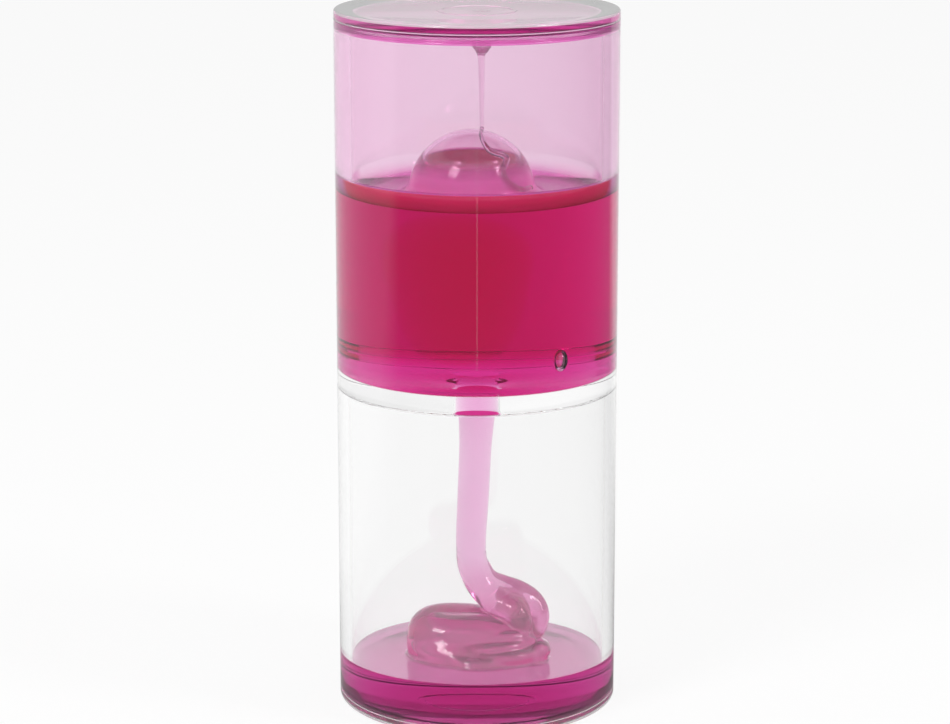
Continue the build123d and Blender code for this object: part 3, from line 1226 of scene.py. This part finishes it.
lower_pool = shrink_wrap(
    "lower_pool_and_pile",
    lower_field,
    GRID_LOW,
    GRID_HIGH,
    GRID,
    [lower_dyed_liquid],
    lower_contacts,
    lower_edges,
)
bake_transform(lower_pool)
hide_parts("lower_liquid", "lower_surface", "coil_pile", "stream_fold")


# Floor, light and camera, in metres
FLOOR_REACH = 6.0
FLOOR_GREY = 0.85
WHITE_SHARE = 0.88

# Glass shows the floor weaker from the left end of this stretch to its right end
FALL_START = -0.15
FALL_END = 0.3
FALL_TO = 0.87

# Gloss shows the floor weak in front of the object and white from this depth behind it on. Off to
# the sides that line runs further back, by these slopes.
FRONT_GLOW = 0.28
GLOW_DEPTH = 0.12
RIGHT_SLOPE = 0.9
LEFT_SLOPE = 0.5

WORLD_LIGHT = 0.6


def floor_brightness(tree, path):
    """How bright the floor's white is: through glass a little weaker to the right, and in gloss
    strong behind the object only."""
    link = tree.links.new
    place = node(tree, "ShaderNodeNewGeometry")
    axes = node(tree, "ShaderNodeSeparateXYZ")
    link(place.outputs["Position"], axes.inputs[0])
    fall = node(
        tree,
        "ShaderNodeMapRange",
        inputs={"From Min": FALL_START, "From Max": FALL_END, "To Min": 1.0, "To Max": FALL_TO},
    )
    link(axes.outputs["X"], fall.inputs["Value"])
    through = node(tree, "ShaderNodeMix", data_type="FLOAT")
    link(path.outputs["Is Transmission Ray"], through.inputs["Factor"])
    through.inputs["A"].default_value = 1.0
    link(fall.outputs["Result"], through.inputs["B"])

    right = node(tree, "ShaderNodeMath", operation="MULTIPLY", inputs={1: RIGHT_SLOPE})
    left = node(tree, "ShaderNodeMath", operation="MULTIPLY", inputs={1: LEFT_SLOPE})
    edge = node(tree, "ShaderNodeMath", operation="MAXIMUM")
    depth = node(tree, "ShaderNodeMath", operation="SUBTRACT")
    behind = node(
        tree,
        "ShaderNodeMapRange",
        inputs={"From Min": 0.0, "From Max": GLOW_DEPTH, "To Min": FRONT_GLOW, "To Max": 1.0},
    )
    link(axes.outputs["X"], right.inputs[0])
    link(axes.outputs["X"], left.inputs[0])
    link(right.outputs[0], edge.inputs[0])
    link(left.outputs[0], edge.inputs[1])
    link(axes.outputs["Y"], depth.inputs[0])
    link(edge.outputs[0], depth.inputs[1])
    link(depth.outputs[0], behind.inputs["Value"])

    mirrored = node(tree, "ShaderNodeMath", operation="SUBTRACT", use_clamp=True)
    gloss = node(tree, "ShaderNodeMix", data_type="FLOAT")
    link(path.outputs["Is Glossy Ray"], mirrored.inputs[0])
    link(path.outputs["Is Transmission Ray"], mirrored.inputs[1])
    link(mirrored.outputs[0], gloss.inputs["Factor"])
    link(through.outputs["Result"], gloss.inputs["A"])
    link(behind.outputs["Result"], gloss.inputs["B"])
    return gloss.outputs["Result"]


def floor_whiteness(tree, path):
    """Share of plain white in the floor: all of it through glass, most of it for the camera and
    gloss, and none for other rays."""
    link = tree.links.new
    first = node(tree, "ShaderNodeMath", operation="MAXIMUM")
    seen = node(tree, "ShaderNodeMath", operation="MAXIMUM")
    most = node(tree, "ShaderNodeMapRange", inputs={"To Min": WHITE_SHARE, "To Max": 1.0})
    white = node(tree, "ShaderNodeMath", operation="MULTIPLY")
    link(path.outputs["Is Camera Ray"], first.inputs[0])
    link(path.outputs["Is Transmission Ray"], first.inputs[1])
    link(first.outputs[0], seen.inputs[0])
    link(path.outputs["Is Glossy Ray"], seen.inputs[1])
    link(path.outputs["Is Transmission Ray"], most.inputs["Value"])
    link(seen.outputs[0], white.inputs[0])
    link(most.outputs["Result"], white.inputs[1])
    return white.outputs[0]


def stage_material():
    """Pale floor. The camera sees it white, with the object's soft shadow."""
    material = bpy.data.materials.new("floor")
    material.use_nodes = True
    tree = material.node_tree
    tree.nodes.clear()
    link = tree.links.new
    output = node(tree, "ShaderNodeOutputMaterial")
    grey = (FLOOR_GREY, FLOOR_GREY, FLOOR_GREY, 1.0)
    diffuse = node(tree, "ShaderNodeBsdfDiffuse", inputs={"Color": grey})
    emission = node(tree, "ShaderNodeEmission")
    mix = node(tree, "ShaderNodeMixShader")
    path = node(tree, "ShaderNodeLightPath")
    link(floor_brightness(tree, path), emission.inputs["Strength"])
    link(floor_whiteness(tree, path), mix.inputs["Fac"])
    link(diffuse.outputs[0], mix.inputs[1])
    link(emission.outputs[0], mix.inputs[2])
    link(mix.outputs[0], output.inputs["Surface"])
    return material


floor_mesh = bpy.data.meshes.new("floor")
floor_mesh.from_pydata(
    [
        (-FLOOR_REACH, -FLOOR_REACH, 0.0),
        (FLOOR_REACH, -FLOOR_REACH, 0.0),
        (FLOOR_REACH, FLOOR_REACH, 0.0),
        (-FLOOR_REACH, FLOOR_REACH, 0.0),
    ],
    [],
    [(0, 1, 2, 3)],
)
floor_mesh.materials.append(stage_material())
floor = bpy.data.objects.new("floor", floor_mesh)
bpy.context.scene.collection.objects.link(floor)


def studio_world():
    """Soft white light all round, which the camera and clear pieces see in full white."""
    world = bpy.data.worlds.new("studio")
    bpy.context.scene.world = world
    world.use_nodes = True
    tree = world.node_tree
    link = tree.links.new
    background = tree.nodes["Background"]
    path = node(tree, "ShaderNodeLightPath")
    seen = node(tree, "ShaderNodeMath", operation="MAXIMUM")
    strength = node(tree, "ShaderNodeMapRange", inputs={"To Min": WORLD_LIGHT, "To Max": 1.0})
    link(path.outputs["Is Camera Ray"], seen.inputs[0])
    link(path.outputs["Is Transmission Ray"], seen.inputs[1])
    link(seen.outputs[0], strength.inputs["Value"])
    link(strength.outputs["Result"], background.inputs["Strength"])
    background.inputs["Color"].default_value = (*WHITE, 1.0)


def softbox(name, place, target, size, power):
    """Soft rectangular lamp turned towards a point."""
    data = bpy.data.lights.new(name, "AREA")
    data.shape = "RECTANGLE"
    data.size = size[0]
    data.size_y = size[1]
    data.energy = power
    lamp = bpy.data.objects.new(name, data)
    lamp.location = place
    lamp.rotation_euler = (Vector(target) - Vector(place)).to_track_quat("-Z", "Y").to_euler()
    bpy.context.scene.collection.objects.link(lamp)


studio_world()
LIT_POINT = (0, 0, 0.08)
softbox("left_softbox", place=(-0.45, -0.5, 0.75), target=LIT_POINT, size=(0.25, 0.3), power=4.0)
softbox("right_softbox", place=(0.7, -0.3, 0.7), target=LIT_POINT, size=(0.2, 0.3), power=3.0)

# Camera at the photograph's angle. The shifts are in pixels of its width.
PHOTO_WIDTH = 950
SHIFT_ACROSS = -2.0
SHIFT_UP = -9.8
CAMERA_TILT = 0.2373
camera_data = bpy.data.cameras.new("camera")
camera_data.sensor_width = 36.0
camera_data.lens = 112.88
camera_data.shift_x = SHIFT_ACROSS / PHOTO_WIDTH
camera_data.shift_y = SHIFT_UP / PHOTO_WIDTH
camera_data.clip_start = 0.01
camera = bpy.data.objects.new("camera", camera_data)
camera.location = (0.0, -0.6206, 0.2262)
camera.rotation_euler = (pi / 2 - CAMERA_TILT, 0, 0)
bpy.context.scene.collection.objects.link(camera)
bpy.context.scene.camera = camera

bpy.context.scene.view_settings.view_transform = "Standard"
